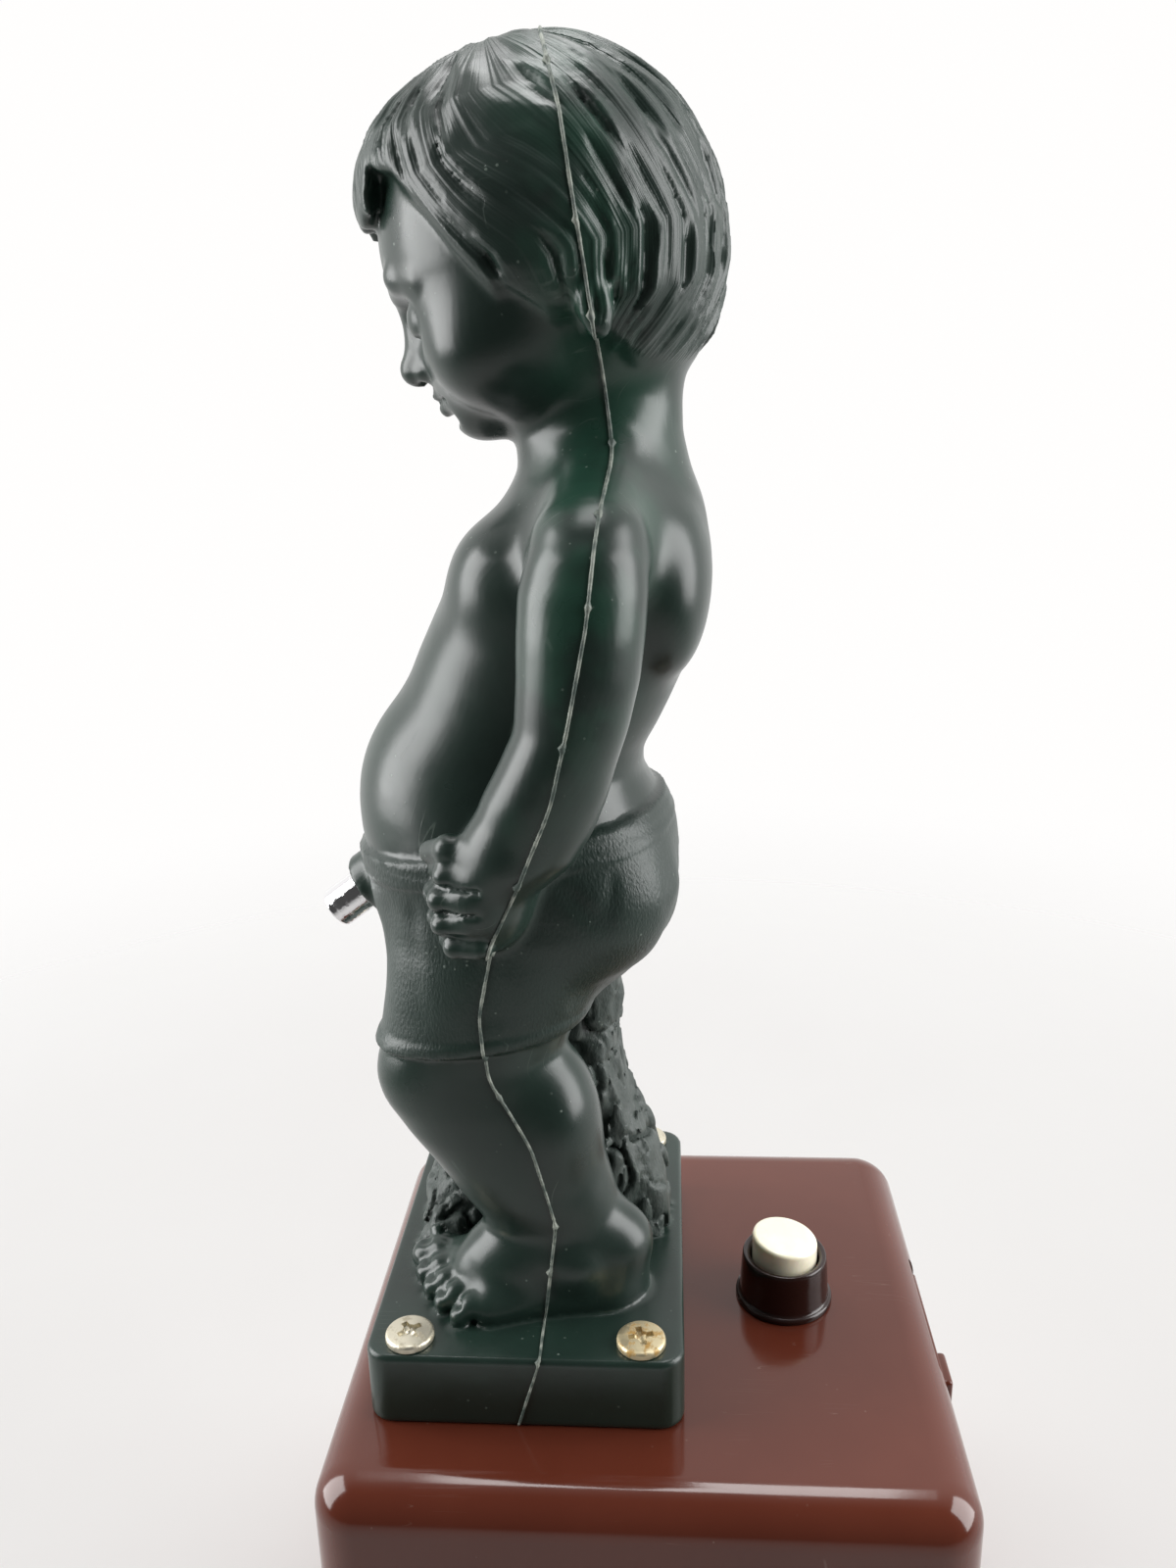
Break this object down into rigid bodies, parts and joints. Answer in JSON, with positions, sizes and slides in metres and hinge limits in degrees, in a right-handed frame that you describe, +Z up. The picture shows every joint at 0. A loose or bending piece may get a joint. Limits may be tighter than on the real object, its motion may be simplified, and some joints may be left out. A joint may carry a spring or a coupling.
{
  "type": "figure trophy",
  "caption": "Novelty drink dispenser: moulded standing cherub with a spout on a plinth, on a battery box with a push button.",
  "frame": {"origin": "centre of the box's footprint, on the plane under its rubber feet", "axes": "+Z up; the figure faces -Y, its left side is +X, and the push button and the rear door are towards +Y"},
  "size_m": [0.098, 0.1085, 0.2819],
  "materials": {
    "figure_green": "satin, dark green black, worn",
    "chrome_plate": "polished",
    "nickel_plate": "dull nickel plate with grime",
    "brown_gloss": "glossy red brown",
    "brown_dark": "semi-gloss dark brown",
    "ivory": "glossy ivory",
    "black_rubber": "matt",
    "clear_poly": "milky translucent",
    "white_plastic": "moulded",
    "black_plastic": "moulded",
    "spring_steel": "bright",
    "contact_brass": "satin",
    "cell_jacket": "printed sleeve without marks",
    "red_insulation": "wire insulation",
    "blue_insulation": "wire insulation"
  },
  "bodies": {
    "base": {"figure_front_shell": "figure_green", "figure_rear_shell": "figure_green", "spout_tube": "chrome_plate", "plinth_screw_right_front": "nickel_plate", "plinth_screw_right_rear": "nickel_plate", "plinth_screw_left_front": "nickel_plate", "plinth_screw_left_rear": "nickel_plate", "base_casing": "brown_gloss", "bottom_plate": "brown_dark", "bottom_screw_right_front": "spring_steel", "bottom_screw_right_rear": "spring_steel", "bottom_screw_left_front": "spring_steel", "bottom_screw_left_rear": "spring_steel", "rubber_foot_right_front": "black_rubber", "rubber_foot_right_rear": "black_rubber", "rubber_foot_left_front": "black_rubber", "rubber_foot_left_rear": "black_rubber", "button_collar": "brown_dark", "button_spring": "spring_steel", "switch_bracket": "black_plastic", "switch_leaf_fixed": "contact_brass", "spring_seat": "spring_steel", "door_hinge_pin": "spring_steel", "battery_cradle": "black_plastic", "battery_lower": "cell_jacket", "battery_upper": "cell_jacket", "contact_plate": "spring_steel", "contact_spring": "spring_steel", "liquid_tank": "clear_poly", "pump_body": "white_plastic", "pump_cover": "white_plastic", "motor_can": "spring_steel", "motor_end_cap": "white_plastic", "motor_clamp": "black_plastic", "suction_hose": "clear_poly", "delivery_hose": "clear_poly", "wire_battery_to_motor": "red_insulation", "wire_motor_to_switch": "blue_insulation", "wire_switch_to_battery": "red_insulation"},
    "button": {"push_button": "ivory"},
    "contact_leaf": {"switch_leaf_moving": "contact_brass"},
    "door": {"rear_door": "brown_gloss", "door_contact_strip": "contact_brass"},
    "cap": {"tank_cap": "white_plastic", "cap_seal": "black_rubber"},
    "rotor": {"pump_impeller": "white_plastic", "motor_shaft": "spring_steel"}
  },
  "joints": [
    {"name": "button_press", "type": "slide", "parent": "base", "child": "button", "axis": [0, 0, -1], "range_m": [0, 0.0025], "stiffness_N_per_m": 300, "springref_m": -0.004, "deforming": ["button_spring"]},
    {"name": "contact_flex", "type": "hinge", "parent": "base", "child": "contact_leaf", "pos_m": [0.014, 0.0254, 0.0628], "axis": [0, -1, 0], "range_deg": [0, 11]},
    {"name": "door_swing", "type": "hinge", "parent": "base", "child": "door", "pos_m": [0, 0.05125, 0.01], "axis": [-1, 0, 0], "range_deg": [0, 92]},
    {"name": "cap_turn", "type": "hinge", "parent": "base", "child": "cap", "pos_m": [0.017, 0.04, 0.042], "axis": [0, -1, 0], "range_deg": [0, 180]},
    {"name": "rotor_spin", "type": "hinge", "parent": "base", "child": "rotor", "pos_m": [-0.025, -0.032, 0.02], "axis": [0, 0, 1], "continuous": true}
  ],
  "couplings": [
    {"joint": "contact_flex", "follows": "button_press", "rad_per_m": 76}
  ]
}
